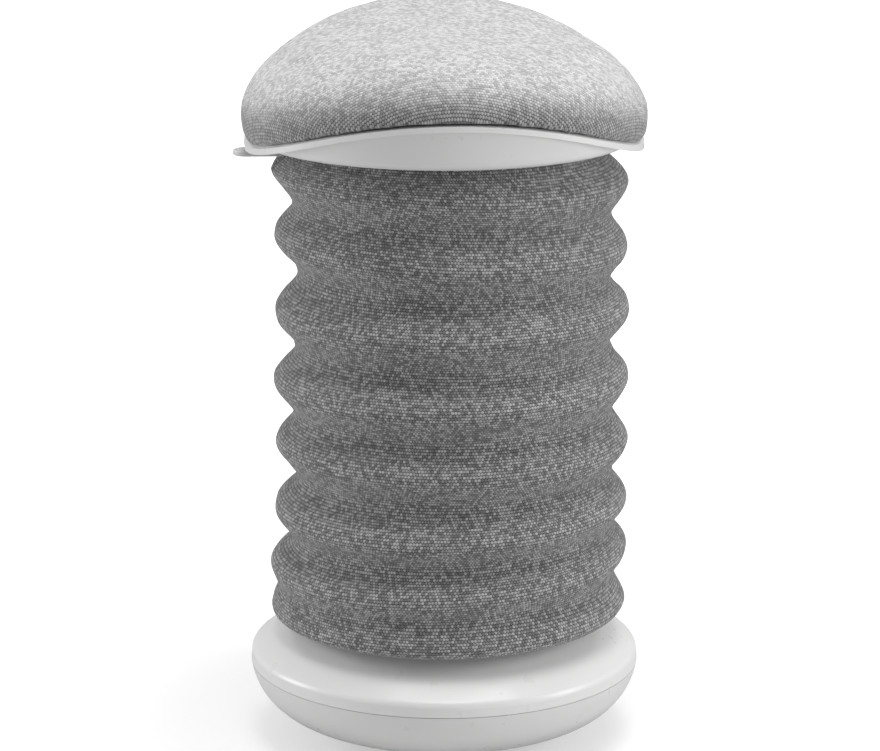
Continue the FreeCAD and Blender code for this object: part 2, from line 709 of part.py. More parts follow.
def seat_cushion():
    top = under_arch(CROWN_R, CROWN_Z, CROWN_TILT)
    pad = seat_disc(CUSHION_R).common(top).cut(rim_arch(GAP))
    pad = pad.makeFillet(CUSHION_TOP_ROUND, rim_edges(pad)[-1:])
    pad = pad.makeFillet(CUSHION_BOTTOM_ROUND, rim_edges(pad)[:1])
    return pad.cut(seat_disc(BOARD_R + GAP).common(rim_arch(BOARD_T + GAP)))


# Bellows sleeve, its rings and its hoops


def rib_share(index):
    """Place of a hoop between the lowest, 0, and the highest, 1."""
    even = index / (RIB_COUNT - 1)
    return even - RIB_SAG * even * (1 - even) ** 2


def rib_z(index):
    return RIB_LOW_Z + (RIB_HIGH_Z - RIB_LOW_Z) * rib_share(index)


def valley_r(index):
    share = (rib_share(index) + rib_share(index + 1)) / 2
    return VALLEY_R + VALLEY_FILL * (1 - share) ** 6


def cuff_r():
    return COLLAR_R + NEST + GAP + LOW_RING_WALL + GAP + SLEEVE_T


def sleeve_top_z():
    return HULL_BOTTOM_Z - SLEEVE_TOP_GAP


def sleeve_notch_z():
    """Foot of the sleeve's notch, which stays under the paddle when the sleeve is folded down."""
    height = sleeve_top_z() - SLEEVE_BOTTOM_Z
    squeeze = LIFT_TRAVEL / height
    paddle_z = lever_z() - PADDLE_T / 2 - GAP
    return (paddle_z - LIFT_TRAVEL - squeeze * SLEEVE_BOTTOM_Z) / (1 - squeeze)


def sleeve_circles():
    """Radius and height of each circle of the outer surface, four to a rib."""
    circles = [(cuff_r(), SLEEVE_BOTTOM_Z), (cuff_r(), SLEEVE_BOTTOM_Z + CUFF_H)]
    for i in range(RIB_COUNT):
        z = rib_z(i)
        circles += [(RIDGE_R, z - RIDGE_H / 2), (RIDGE_R, z + RIDGE_H / 2)]
        if i < RIB_COUNT - 1:
            bay = rib_z(i + 1) - z
            middle = z + bay / 2
            half_valley = bay * VALLEY_SHARE / 2
            circles += [(valley_r(i), middle - half_valley), (valley_r(i), middle + half_valley)]
    top_r = HIGH_RING_R + GAP + SLEEVE_T
    return circles + [(top_r, HIGH_RING_BOTTOM_Z + RIDGE_H), (top_r, sleeve_top_z())]


def ruled_tube(circles, offset):
    wires = [Part.Wire(Part.Circle(vec(0, 0, z), UP, r - offset).toShape()) for r, z in circles]
    return Part.makeLoft(wires, True, True)


def paddle_notch(bottom_z):
    """Room for the paddle through a ring around the axis, from bottom_z up."""
    room_y, _ = paddle_room()
    inner_x = HIGH_RING_FLANGE + RIB_T - HIGH_RING_R
    return box(-RIDGE_R, inner_x, -room_y, room_y, bottom_z, HULL_BOTTOM_Z + 1)


def bellows_sleeve():
    circles = sleeve_circles()
    sleeve = ruled_tube(circles, 0).cut(ruled_tube(circles, SLEEVE_T))
    return sleeve.cut(paddle_notch(sleeve_notch_z()))


def sleeve_bottom_ring():
    inner = COLLAR_R + NEST + GAP
    return pipe(inner + LOW_RING_WALL, inner, COVER_TOP_Z + GAP, COVER_TOP_Z + COLLAR_H)


def sleeve_top_ring():
    flange_z = HULL_BOTTOM_Z - PLATE_T
    ring = pipe(HIGH_RING_R, HIGH_RING_R - HIGH_RING_WALL, HIGH_RING_BOTTOM_Z, HULL_BOTTOM_Z)
    flange = pipe(HIGH_RING_R, HIGH_RING_R - HIGH_RING_FLANGE, flange_z, HULL_BOTTOM_Z)
    ring = ring.fuse(flange).removeSplitter()
    for x, y in shell_screw_places():
        ring = ring.cut(rod(SHELL_SCREW_R + NEST, flange_z - 1, HULL_BOTTOM_Z + 1, x, y))
    return ring.cut(paddle_notch(lever_z() - PADDLE_T / 2 - 2 * GAP))


def hoop(index):
    centre_r = RIDGE_R - SLEEVE_T - GAP - HOOP_WIRE_R
    return Part.makeTorus(centre_r, HOOP_WIRE_R, vec(0, 0, rib_z(index)), UP)


def main():
    pieces = (
        base_lower_shell, base_top_cover, foot_pad, base_screws, ballast_ring, hub_socket, hub_bolts,
        column_tube, guide_bush, lower_race, bearing_balls, upper_race, rubber_buffer, piston_rod,
        retaining_clip, piston, gas_cylinder, cylinder_head, valve_pin, cone_socket, seat_plate,
        lever_pivot_pin, release_lever, lever_paddle, seat_shell, seat_board, tee_nuts, plate_bolts,
        shell_screws, seat_cushion, bellows_sleeve, sleeve_bottom_ring, sleeve_top_ring,
    )
    os.makedirs("parts", exist_ok=True)
    for make in pieces:
        save(make.__name__, make())
    for i in range(RIB_COUNT):
        save("hoop_" + str(i + 1), hoop(i))


main()
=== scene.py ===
import bpy
import json
import math
import numpy as np
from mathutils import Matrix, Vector, noise


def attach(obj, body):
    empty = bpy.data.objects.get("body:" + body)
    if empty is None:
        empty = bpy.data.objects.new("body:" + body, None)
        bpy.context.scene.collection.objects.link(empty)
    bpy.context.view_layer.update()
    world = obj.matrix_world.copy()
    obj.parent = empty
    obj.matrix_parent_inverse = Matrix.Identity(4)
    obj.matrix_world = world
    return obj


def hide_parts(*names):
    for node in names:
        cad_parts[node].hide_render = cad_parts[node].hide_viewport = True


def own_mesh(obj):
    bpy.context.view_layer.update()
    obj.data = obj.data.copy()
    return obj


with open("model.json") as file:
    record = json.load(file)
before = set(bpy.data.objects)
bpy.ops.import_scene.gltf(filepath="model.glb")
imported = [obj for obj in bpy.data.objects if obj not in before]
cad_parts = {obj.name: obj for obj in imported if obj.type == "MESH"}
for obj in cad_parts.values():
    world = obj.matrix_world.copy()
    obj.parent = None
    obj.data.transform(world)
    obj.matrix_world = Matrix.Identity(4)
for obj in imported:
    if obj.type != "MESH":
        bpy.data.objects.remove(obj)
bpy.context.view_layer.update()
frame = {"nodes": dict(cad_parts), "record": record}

# Wobble stool. Metres, +Z up, the sitter faces -Y and the release lever is on -X.

# Camera, found by setting the seat's and the base's outlines on the photograph
IMAGE_WIDTH = 880
CAMERA_PLACE = (-0.1594, -2.7834, 1.020)
CAMERA_PITCH = 13.86          # degrees below the horizon
CAMERA_TURN = -3.2            # degrees, the stool stands slightly turned
FOCAL_PIXELS = 3186.0
SENSOR = 36.0

# Sleeve, in metres and degrees, hoop by hoop from the lowest
SLEEVE_BOTTOM_Z = 0.1093
SLEEVE_TOP_Z = 0.5475
SLEEVE_T = 0.0016
RIB_Z = (0.1240, 0.1680, 0.2175, 0.2755, 0.3325, 0.3958, 0.4590, 0.5165)
RIDGE_R = (0.1612, 0.1620, 0.1605, 0.1590, 0.1604, 0.1588, 0.1575, 0.1580)
VALLEY_R = (0.1530, 0.1455, 0.1425, 0.1440, 0.1420, 0.1405, 0.1425)
RING_SHIFT_X = (0.0035, 0.0038, 0.0055, 0.0068, 0.0064, 0.0068, 0.0060, 0.0052)
VALLEY_SHIFT_X = (0.0010, 0.0075, 0.0090, 0.0080, 0.0075, 0.0095, 0.0070)
RING_TILT = (-1.0, -2.8, -1.6, -0.6, -0.4, -0.3, 2.1, 2.0)     # degrees, left side up
HOOP_WIRE_R = 0.0015
HOOP_CLEAR = 0.0008           # between a hoop and the cloth around it
HOOP_STEPS = 180              # points around a hoop
WIRE_STEPS = 8                # points around its wire
CUFF_R = 0.1334
CUFF_EDGE = 0.0022            # height of the cuff's straight edge
SLEEVE_HEAD_R = 0.1375
COLUMNS = 320
CUFF_ROWS = 4
CUFF_TURN_ROWS = 14
ROWS_PER_BAY = 30
HEAD_ROWS = 16
WALES = 352                   # stitches around the sleeve
COURSE = 0.0027               # height of a row of stitches
NOTCH_Z = 0.5285              # foot of the notch that the lever passes through
NOTCH_HALF = 0.0165           # half width of that notch
NOTCH_EASE = 0.007            # width over which its sides rise
FOLDS = ((0.0021, 1.3, 62.0, 0.0),     # slack folds: depth, changes around, changes upwards
         (0.0009, 3.5, 110.0, 7.0))    # and a shift that keeps the two sorts apart
FOLD_FADE = 0.02              # the folds fade out over this height at the sleeve's ends

# Cushion, in metres and degrees
CUSHION_R = 0.180
CROWN_Z = 0.6483
CROWN_TILT = 5.23
CROWN_ARCH = 0.391
CROWN_ROUND = 0.046
RIM_FRONT_Z = 0.5875
RIM_TILT = 5.0
RIM_ARCH = 0.320
SHELL_R = 0.177
BOARD_R = 0.1563
BOARD_T = 0.0103
UNDER_ROUND = (0.006, 0.013)  # at the front and at the sides
SEAM_LIFT = 0.0012            # cloth above the shell's rim
LOW_SINE_MAX = 0.9            # the large round always runs down at least to this sine
TOUCH_TRIES = 200             # radii tried for the point where the round meets the crown
CROWN_POINTS = 90
ROUND_POINTS = 40
UNDER_POINTS = 8
HOLLOW_POINTS = 24
SECTION_POINTS = 170
PAD_COLUMNS = 240
PAD_VOXEL = 0.0045
RELAX_ROUNDS = 6
CUSHION_PITCH = 0.0030        # stitch of the cushion's weave
SHADED_SIDE_START = 0.006            # depth under the crown where the weave starts to look looser and is painted darker as shade
SHADED_SIDE_REACH = 0.032            # height over which it does
FOOT_MARGIN = 0.003           # the pad is held up to this height over the rim
BOARD_MARGIN = 0.004          # and within this distance of the board
START_INSET = 0.0006          # the pad is inflated from a slightly smaller form
SWELL_CAP = 0.0038            # how far the pressure may move a point
SIM_FRAMES = 20
CLOTH = {"quality": 6, "mass": 0.3, "tension_stiffness": 20, "compression_stiffness": 20,
         "bending_stiffness": 2.0, "use_pressure": True, "uniform_pressure_force": 4.0}

# Looks and room
SHARP_ANGLE = 32              # degrees between faces that stay a sharp edge
OWN_SHARE = 0.30              # how much a stitch's own shade counts against the yarn's flecks
FLOOR_REACH = 6.0
FLOOR_GREY = 0.66
WORLD_STRENGTH = 0.38


def between(start, end, t):
    return start + (end - start) * t


def clamp(value, low, high):
    return min(max(value, low), high)


def eased(t):
    """A change from 0 to 1 that starts and ends softly."""
    return t * t * (3 - 2 * t)


# Node helpers


class Nodes:
    """Short calls for building one material's node tree."""

    def __init__(self, name):
        self.material = bpy.data.materials.new(name)
        self.material.use_nodes = True
        self.tree = self.material.node_tree
        self.shader = self.tree.nodes["Principled BSDF"]

    def put(self, socket, value):
        if isinstance(value, bpy.types.NodeSocket):
            self.tree.links.new(value, socket)
        else:
            socket.default_value = value

    def add(self, kind, **settings):
        node = self.tree.nodes.new(kind)
        for key, value in settings.items():
            setattr(node, key, value)
        return node

    def math(self, operation, a, b=0.0):
        node = self.add("ShaderNodeMath", operation=operation)
        self.put(node.inputs[0], a)
        self.put(node.inputs[1], b)
        return node.outputs[0]

    def coordinates(self, scale=(1, 1, 1)):
        place = self.add("ShaderNodeTexCoord").outputs["Object"]
        mapping = self.add("ShaderNodeMapping")
        self.put(mapping.inputs["Vector"], place)
        self.put(mapping.inputs["Scale"], scale)
        return mapping.outputs[0]

    def noise(self, vector, scale, detail=3.0, roughness=0.5):
        node = self.add("ShaderNodeTexNoise")
        self.put(node.inputs["Vector"], vector)
        self.put(node.inputs["Scale"], scale)
        self.put(node.inputs["Detail"], detail)
        self.put(node.inputs["Roughness"], roughness)
        return node.outputs["Fac"]

    def ramp(self, factor, stops):
        node = self.add("ShaderNodeValToRGB")
        self.put(node.inputs[0], factor)
        elements = node.color_ramp.elements
        while len(elements) < len(stops):
            elements.new(0.5)
        for element, (place, grey) in zip(elements, stops):
            element.position = place
            shade = grey if isinstance(grey, tuple) else (grey, grey, grey)
            element.color = (*shade, 1)
        return node.outputs[0]

    def mix(self, factor, a, b, blend="MIX"):
        node = self.add("ShaderNodeMix", data_type="RGBA", blend_type=blend)
        self.put(node.inputs[0], factor)
        self.put(node.inputs[6], a)
        self.put(node.inputs[7], b)
        return node.outputs[2]

    def bump(self, height, distance, strength=1.0, under=None):
        node = self.add("ShaderNodeBump")
        self.put(node.inputs["Height"], height)
        self.put(node.inputs["Distance"], distance)
        self.put(node.inputs["Strength"], strength)
        if under is not None:
            self.put(node.inputs["Normal"], under)
        return node.outputs[0]

    def finish(self, **sockets):
        for name, value in sockets.items():
            self.put(self.shader.inputs[name.replace("_", " ")], value)
        return self.material


# Materials


def moulded_plastic(name, colour, roughness, coat=0.0):
    """Satin plastic with a fine spark-eroded grain and faint mottling."""
    n = Nodes(name)
    place = n.coordinates()
    tone = n.ramp(n.noise(place, 9.0), [(0.3, 0.985), (0.7, 1.0)])
    shade = n.mix(1.0, (*colour, 1), tone, "MULTIPLY")
    gloss = n.ramp(n.noise(place, 60.0, 4.0), [(0.3, roughness - 0.03), (0.7, roughness + 0.05)])
    grain = n.bump(n.noise(place, 2600.0, 2.0), 0.00004, 0.35)
    return n.finish(Base_Color=shade, Roughness=gloss, Normal=grain, Coat_Weight=coat,
                    Coat_Roughness=0.12, IOR=1.5)


def stitches(n, across, along):
    """Rounded stitches in staggered rows: height of the yarn, and a number for each stitch."""
    row = n.math("FLOOR", along)
    offset = n.math("MULTIPLY", n.math("MODULO", row, 2.0), 0.5)
    shifted = n.math("ADD", across, offset)
    x = n.math("SUBTRACT", n.math("FRACT", shifted), 0.5)
    y = n.math("SUBTRACT", n.math("FRACT", along), 0.5)
    reach = n.math("ADD", n.math("MULTIPLY", x, x), n.math("MULTIPLY", y, y))
    height = n.math("SUBTRACT", 1.0, n.math("MULTIPLY", reach, 2.6))
    cell = n.add("ShaderNodeCombineXYZ")
    n.put(cell.inputs[0], n.math("FLOOR", shifted))
    n.put(cell.inputs[1], row)
    own = n.add("ShaderNodeTexWhiteNoise", noise_dimensions="2D")
    n.put(own.inputs["Vector"], cell.outputs[0])
    return height, own.outputs["Value"]


def melange_cloth(name, dark, middle, light, streak, depth, sheen, shaded_side=1.0):
    """Cloth of mixed yarns, with painted shade in the gaps between stitches. The mesh's stitch
    attribute holds the grid across and along, and in its third part how open the stitches look and
    how far the cloth is painted darker as shade."""
    n = Nodes(name)
    grid = n.add("ShaderNodeAttribute", attribute_name="stitch")
    parts = n.add("ShaderNodeSeparateXYZ")
    n.put(parts.inputs[0], grid.outputs["Vector"])
    height, own = stitches(n, parts.outputs[0], parts.outputs[1])
    place = n.coordinates()
    yarn = n.noise(place, 1150.0, 3.0, 0.7)
    blend = n.math("ADD", n.math("MULTIPLY", own, OWN_SHARE),
                   n.math("MULTIPLY", yarn, 1 - OWN_SHARE))
    fleck = n.ramp(blend, [(0.36, dark), (0.5, middle), (0.64, light)])
    stretched = n.add("ShaderNodeMapping")
    n.put(stretched.inputs["Vector"], grid.outputs["Vector"])
    n.put(stretched.inputs["Scale"], (0.09, 1.1, 0.0))
    slub = n.ramp(n.noise(stretched.outputs[0], 1.0, 3.0), [(0.3, 1 - streak), (0.7, 1 + streak)])
    cloudy = n.ramp(n.noise(place, 22.0, 2.0), [(0.3, 0.96), (0.7, 1.04)])
    shade = n.mix(1.0, n.mix(1.0, fleck, slub, "MULTIPLY"), cloudy, "MULTIPLY")
    # painted shade: the gaps between stitches are darkened, and more deeply where the stitches are
    # open
    fine_gap_shade = n.ramp(height, [(0.0, 0.72), (0.6, 1.0)])
    # painted shade: where the stitches are open, the whole cloth is also darkened by the last
    # argument
    open_gap_shade = n.ramp(height, [(0.2, 0.22 * shaded_side), (0.75, shaded_side)])
    gap_shade = n.mix(parts.outputs[2], fine_gap_shade, open_gap_shade)
    shade = n.mix(1.0, shade, gap_shade, "MULTIPLY")
    woven = n.bump(height, depth, 0.8)
    hairy = n.bump(yarn, depth * 0.6, 0.6, woven)
    return n.finish(Base_Color=shade, Roughness=0.9, Normal=hairy, Sheen_Weight=sheen,
                    Sheen_Roughness=0.45, Specular_IOR_Level=0.2)


def metal(name, colour, roughness, brushed=0.0):
    n = Nodes(name)
    place = n.coordinates((1, 1, 30) if brushed else (1, 1, 1))
    marks = n.noise(place, 90.0, 4.0)
    gloss = n.ramp(marks, [(0.3, max(roughness - 0.05, 0.02)), (0.7, roughness + 0.08)])
    return n.finish(Base_Color=(*colour, 1), Metallic=1.0, Roughness=gloss,
                    Normal=n.bump(marks, 0.00003, 0.2 + brushed))


def coated(name, colour, roughness, grain=0.00015):
    """Powder coat, rubber or a painted casting, with its orange-peel or sand grain."""
    n = Nodes(name)
    place = n.coordinates()
    worn = n.ramp(n.noise(place, 35.0, 5.0), [(0.35, 0.9), (0.75, 1.25)])
    shade = n.mix(1.0, (*colour, 1), worn, "MULTIPLY")
    return n.finish(Base_Color=shade, Roughness=roughness,
                    Normal=n.bump(n.noise(place, 700.0, 3.0), grain, 0.5))


def plywood():
    n = Nodes("plywood")
    place = n.coordinates((1, 14, 1))
    figure = n.ramp(n.noise(place, 14.0, 6.0),
                    [(0.3, (0.42, 0.27, 0.15)), (0.7, (0.68, 0.50, 0.32))])
    return n.finish(Base_Color=figure, Roughness=0.6,
                    Normal=n.bump(n.noise(place, 60.0), 0.0001, 0.4))


def make_materials():
    return {
        "white_plastic": moulded_plastic("white_plastic", (0.80, 0.80, 0.795), 0.30, 0.15),
        "tab_plastic": moulded_plastic("tab_plastic", (0.66, 0.66, 0.655), 0.42),
        # the cushion's sides are painted darker, as shade
        "cushion_fabric": melange_cloth("cushion_fabric", dark=0.40, middle=0.57, light=0.72,
                                        streak=0.08, depth=0.0006, sheen=0.3, shaded_side=0.74),
        "sleeve_fabric": melange_cloth("sleeve_fabric", dark=0.17, middle=0.33, light=0.55,
                                       streak=0.10, depth=0.0007, sheen=0.3),
        "foot_rubber": coated("foot_rubber", (0.03, 0.03, 0.03), 0.85),
        "iron": coated("iron", (0.05, 0.05, 0.055), 0.6, 0.0005),
        "column_paint": coated("column_paint", (0.02, 0.02, 0.02), 0.45),
        "plate_paint": coated("plate_paint", (0.025, 0.025, 0.025), 0.5),
        "bright_steel": metal("bright_steel", (0.80, 0.80, 0.81), 0.12),
        "fastener_steel": metal("fastener_steel", (0.70, 0.70, 0.67), 0.30, 0.2),
        "spring_steel": metal("spring_steel", (0.45, 0.45, 0.46), 0.35, 0.3),
        "bush_plastic": moulded_plastic("bush_plastic", (0.03, 0.03, 0.03), 0.5),
        "ring_plastic": moulded_plastic("ring_plastic", (0.10, 0.10, 0.10), 0.5),
        "board": plywood(),
    }


def dress_frame(materials):
    """Every CAD node gets the finish of its slot and smooth shading between its sharp edges."""
    slots = {entry["node"]: entry["material_slot"] for entry in frame["record"]["subparts"]}
    for node, obj in frame["nodes"].items():
        obj.data.materials.clear()
        obj.data.materials.append(materials[slots[node]])
        obj.data.shade_smooth()
        obj.data.set_sharp_from_angle(angle=math.radians(SHARP_ANGLE))


# Pieces


def new_piece(name, mesh, material, body):
    obj = bpy.data.objects.new(name, mesh)
    bpy.context.scene.collection.objects.link(obj)
    mesh.materials.append(material)
    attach(obj, body)
    return obj


def set_stitch(mesh, values):
    attribute = mesh.attributes.new("stitch", "FLOAT_VECTOR", "POINT")
    attribute.data.foreach_set("vector", np.asarray(values, np.float32).ravel())


def grid_mesh(name, points):
    """Quads over an array of points with rows and columns, columns not joined at the ends."""
    rows, columns, _ = points.shape
    index = np.arange(rows * columns).reshape(rows, columns)
    quads = np.stack([index[:-1, :-1], index[:-1, 1:], index[1:, 1:], index[1:, :-1]], axis=-1)
    mesh = bpy.data.meshes.new(name)
    mesh.from_pydata(points.reshape(-1, 3).tolist(), [], quads.reshape(-1, 4).tolist())
    mesh.update()
    mesh.shade_smooth()
    return mesh


def sleeve_rows():
    """For each row: height, radius, shift in X, tilt and share of the head, from the cuff up."""
    cuff_top_z = SLEEVE_BOTTOM_Z + CUFF_EDGE
    rows = [(z, CUFF_R, 0.0, 0.0, 0.0)
            for z in np.linspace(SLEEVE_BOTTOM_Z, cuff_top_z, CUFF_ROWS)]
    for t in np.linspace(0, 1, CUFF_TURN_ROWS)[1:-1]:
        radius = between(CUFF_R, RIDGE_R[0], math.sin(t * math.pi / 2) ** 0.75)
        z = between(cuff_top_z, RIB_Z[0], (1 - math.cos(t * math.pi / 2)) ** 0.9)
        rows.append((z, radius, RING_SHIFT_X[0] * t, RING_TILT[0] * t, 0.0))
    for i in range(len(RIB_Z) - 1):
        for step in range(ROWS_PER_BAY):
            t = step / ROWS_PER_BAY
            ridge, shift, tilt = (between(values[i], values[i + 1], eased(t))
                                  for values in (RIDGE_R, RING_SHIFT_X, RING_TILT))
            crest = (1 + math.cos(2 * math.pi * t)) / 2
            radius = between(VALLEY_R[i], ridge, crest)
            shift = between(VALLEY_SHIFT_X[i], shift, crest)
            rows.append((between(RIB_Z[i], RIB_Z[i + 1], t), radius, shift, tilt, 0.0))
    for t in np.linspace(0, 1, HEAD_ROWS):
        radius = between(SLEEVE_HEAD_R, RIDGE_R[-1], (1 + math.cos(math.pi * t)) / 2)
        z = between(RIB_Z[-1], SLEEVE_TOP_Z, t)
        rows.append((z, radius, RING_SHIFT_X[-1] * (1 - t), RING_TILT[-1] * (1 - t), t))
    return rows


def notch_depth(x, y):
    """Share of the notch's depth at a point of the sleeve's top edge, which the lever passes."""
    if x > 0:
        return 0.0
    return eased(clamp((NOTCH_HALF + NOTCH_EASE - abs(y)) / NOTCH_EASE, 0.0, 1.0))


def wrinkle(angle, z):
    """Slack folds that run mostly around the sleeve, in metres."""
    depth = 0.0
    for size, around, upwards, start in FOLDS:
        place = Vector((math.cos(angle) * around + start, math.sin(angle) * around, z * upwards))
        depth += size * noise.noise(place)
    return depth


def make_sleeve(materials):
    """The ribbed sleeve between the base and the seat."""
    rows = sleeve_rows()
    outer = np.zeros((len(rows), COLUMNS + 1, 3))
    stitch = np.zeros((len(rows), COLUMNS + 1, 3))
    run = 0.0
    for r, (z, radius, shift, tilt, head) in enumerate(rows):
        if r:
            run += math.hypot(z - rows[r - 1][0], radius - rows[r - 1][1])
        free = min(1.0, (z - SLEEVE_BOTTOM_Z) / FOLD_FADE, (SLEEVE_TOP_Z - z) / FOLD_FADE)
        for c in range(COLUMNS + 1):
            share = c / COLUMNS
            angle = math.pi / 2 + 2 * math.pi * share
            bulge = radius + free * wrinkle(angle, z)
            x, y = bulge * math.cos(angle), bulge * math.sin(angle)
            notch = head * (SLEEVE_TOP_Z - NOTCH_Z) * notch_depth(x, y)
            outer[r, c] = (x + shift, y, z - notch - x * math.tan(math.radians(tilt)))
            stitch[r, c] = (share * WALES, run / COURSE, 1)
    outer[:, :, 2] = np.clip(outer[:, :, 2], SLEEVE_BOTTOM_Z, SLEEVE_TOP_Z)
    mesh = grid_mesh("sleeve", outer)
    set_stitch(mesh, stitch.reshape(-1, 3))
    sleeve = new_piece("knitted_sleeve", mesh, materials["sleeve_fabric"], "swivel")
    wall = sleeve.modifiers.new("wall", "SOLIDIFY")
    wall.thickness = SLEEVE_T
    wall.offset = -1.0
    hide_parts("bellows_sleeve")
    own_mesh(sleeve)


def make_hoops(materials):
    """Spring wire rings inside the sleeve, which follow its shifts and tilts."""
    for i in range(len(RIB_Z)):
        centre_r = RIDGE_R[i] - SLEEVE_T - 2 * HOOP_WIRE_R - HOOP_CLEAR
        tilt = math.tan(math.radians(RING_TILT[i]))
        points = np.zeros((WIRE_STEPS + 1, HOOP_STEPS + 1, 3))
        for a in range(HOOP_STEPS + 1):
            angle = 2 * math.pi * a / HOOP_STEPS
            for b in range(WIRE_STEPS + 1):
                turn = 2 * math.pi * b / WIRE_STEPS
                radius = centre_r + HOOP_WIRE_R * math.cos(turn)
                x = radius * math.cos(angle)
                points[b, a] = (x + RING_SHIFT_X[i], radius * math.sin(angle),
                                RIB_Z[i] - x * tilt + HOOP_WIRE_R * math.sin(turn))
        node = "hoop_" + str(i + 1)
        hoop = new_piece("wire_" + node, grid_mesh(node, points), materials["spring_steel"], node)
        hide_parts(node)


def arch_z(x, y, height, tilt, radius):
    """Z of an arch that falls to the left and right and leans up to the rear by its tilt."""
    lean = math.radians(tilt)
    fall = radius - math.sqrt(radius * radius - x * x)
    return height + y * math.tan(lean) - fall / math.cos(lean)


def crown_z(x, y):
    return arch_z(x, y, CROWN_Z, CROWN_TILT, CROWN_ARCH)


def rim_z(x, y):
    crest = RIM_FRONT_Z + SHELL_R * math.tan(math.radians(RIM_TILT))
    return arch_z(x, y, crest, RIM_TILT, RIM_ARCH)


def cushion_section(cosine, sine):
    """The pad's outline in one upright plane through the axis: points of radius and height."""
    centre_r = CUSHION_R - CROWN_ROUND
    # The large round touches the crown from below where that puts its centre lowest
    touches = np.linspace(centre_r - CROWN_ROUND / 2, CUSHION_R - CROWN_ROUND / 20, TOUCH_TRIES)
    centres = [crown_z(r * cosine, r * sine) - math.sqrt(CROWN_ROUND ** 2 - (r - centre_r) ** 2)
               for r in touches]
    centre_z = min(centres)
    touch_r = touches[int(np.argmin(centres))]
    high = math.acos(clamp((touch_r - centre_r) / CROWN_ROUND, -1.0, 1.0))
    foot_z = rim_z(CUSHION_R * cosine, CUSHION_R * sine) + SEAM_LIFT
    under = between(*UNDER_ROUND, cosine * cosine)
    low = math.asin(clamp((foot_z + under - centre_z) / CROWN_ROUND, 0.0, LOW_SINE_MAX))
    points = [(r, crown_z(r * cosine, r * sine)) for r in np.linspace(0.0, touch_r, CROWN_POINTS)]
    for angle in np.linspace(high, low, ROUND_POINTS)[1:]:
        points.append((centre_r + CROWN_ROUND * math.cos(angle),
                       centre_z + CROWN_ROUND * math.sin(angle)))
    outer_r = points[-1][0]
    for angle in np.linspace(0, -math.pi / 2, UNDER_POINTS):
        points.append((outer_r - under * (1 - math.cos(angle)),
                       foot_z + under * (1 + math.sin(angle))))
    inner_foot = rim_z(BOARD_R * cosine, BOARD_R * sine)
    points.append((BOARD_R, inner_foot + SEAM_LIFT))
    points.append((BOARD_R, inner_foot + BOARD_T + SEAM_LIFT))
    for r in np.linspace(BOARD_R, 0.0, HOLLOW_POINTS)[1:]:
        points.append((r, rim_z(r * cosine, r * sine) + BOARD_T + SEAM_LIFT))
    return resampled(points, SECTION_POINTS)


def resampled(points, count):
    """The same line with its points evenly spaced."""
    points = np.array(points)
    steps = np.hypot(*np.diff(points, axis=0).T)
    run = np.concatenate([[0.0], np.cumsum(steps)])
    even = np.linspace(0, run[-1], count)
    return np.stack([np.interp(even, run, column) for column in points.T], axis=1)


def cushion_form():
    """A closed pad: a crowned top, one large round down to the seam, and a hollow for the board."""
    columns = PAD_COLUMNS
    rows = []
    for c in range(columns):
        angle = 2 * math.pi * c / columns
        cosine, sine = math.cos(angle), math.sin(angle)
        rows.append([(r * cosine, r * sine, z) for r, z in cushion_section(cosine, sine)])
    grid = np.array(rows).transpose(1, 0, 2)
    count = len(grid)
    middle = grid[1:-1].reshape(-1, 3)
    vertices = np.concatenate([middle, [grid[0].mean(axis=0), grid[-1].mean(axis=0)]])
    top, bottom = len(middle), len(middle) + 1
    faces = []
    for c in range(columns):
        d = (c + 1) % columns
        faces.append((c, d, top))
        last = (count - 3) * columns
        faces.append((last + d, last + c, bottom))
        for r in range(count - 3):
            a, b = r * columns, (r + 1) * columns
            faces.append((a + c, b + c, b + d, a + d))
    mesh = bpy.data.meshes.new("pad_form")
    mesh.from_pydata(vertices.tolist(), [], faces)
    mesh.update()
    return mesh


def evaluated_mesh(obj):
    view = bpy.context.evaluated_depsgraph_get()
    view.update()
    return bpy.data.meshes.new_from_object(obj.evaluated_get(view))


def is_held(point):
    """Points of the pad's underside and of the hollow around the board stay where they are."""
    x, y, z = point
    foot_z = rim_z(x, y)
    near_board = math.hypot(x, y) < BOARD_R + BOARD_MARGIN
    board_top = foot_z + BOARD_T + BOARD_MARGIN if near_board else 0.0
    return z < max(foot_z + FOOT_MARGIN, board_top)


def mesh_points(mesh):
    flat = np.empty(len(mesh.vertices) * 3)
    mesh.vertices.foreach_get("co", flat)
    return flat.reshape(-1, 3)


def inflate(obj, held):
    """Swell the pad with pressure, holding its underside, and cap how far a point moves."""
    start = mesh_points(obj.data)
    pinned = obj.vertex_groups.new(name="held")
    pinned.add([int(i) for i in np.flatnonzero(held)], 1.0, "REPLACE")
    cloth = obj.modifiers.new("cloth", "CLOTH")
    for key, value in CLOTH.items():
        setattr(cloth.settings, key, value)
    cloth.settings.effector_weights.gravity = 0
    cloth.settings.vertex_group_mass = "held"
    cloth.point_cache.frame_start = 1
    cloth.point_cache.frame_end = SIM_FRAMES
    scene = bpy.context.scene
    for number in range(1, SIM_FRAMES + 1):
        scene.frame_set(number)
    swollen = evaluated_mesh(obj)
    obj.modifiers.remove(cloth)
    scene.frame_set(1)
    move = mesh_points(swollen) - start
    reach = np.linalg.norm(move, axis=1, keepdims=True)
    move *= np.minimum(1.0, SWELL_CAP / np.maximum(reach, 1e-9))
    obj.data.vertices.foreach_set("co", (start + move).ravel())
    obj.data.update()


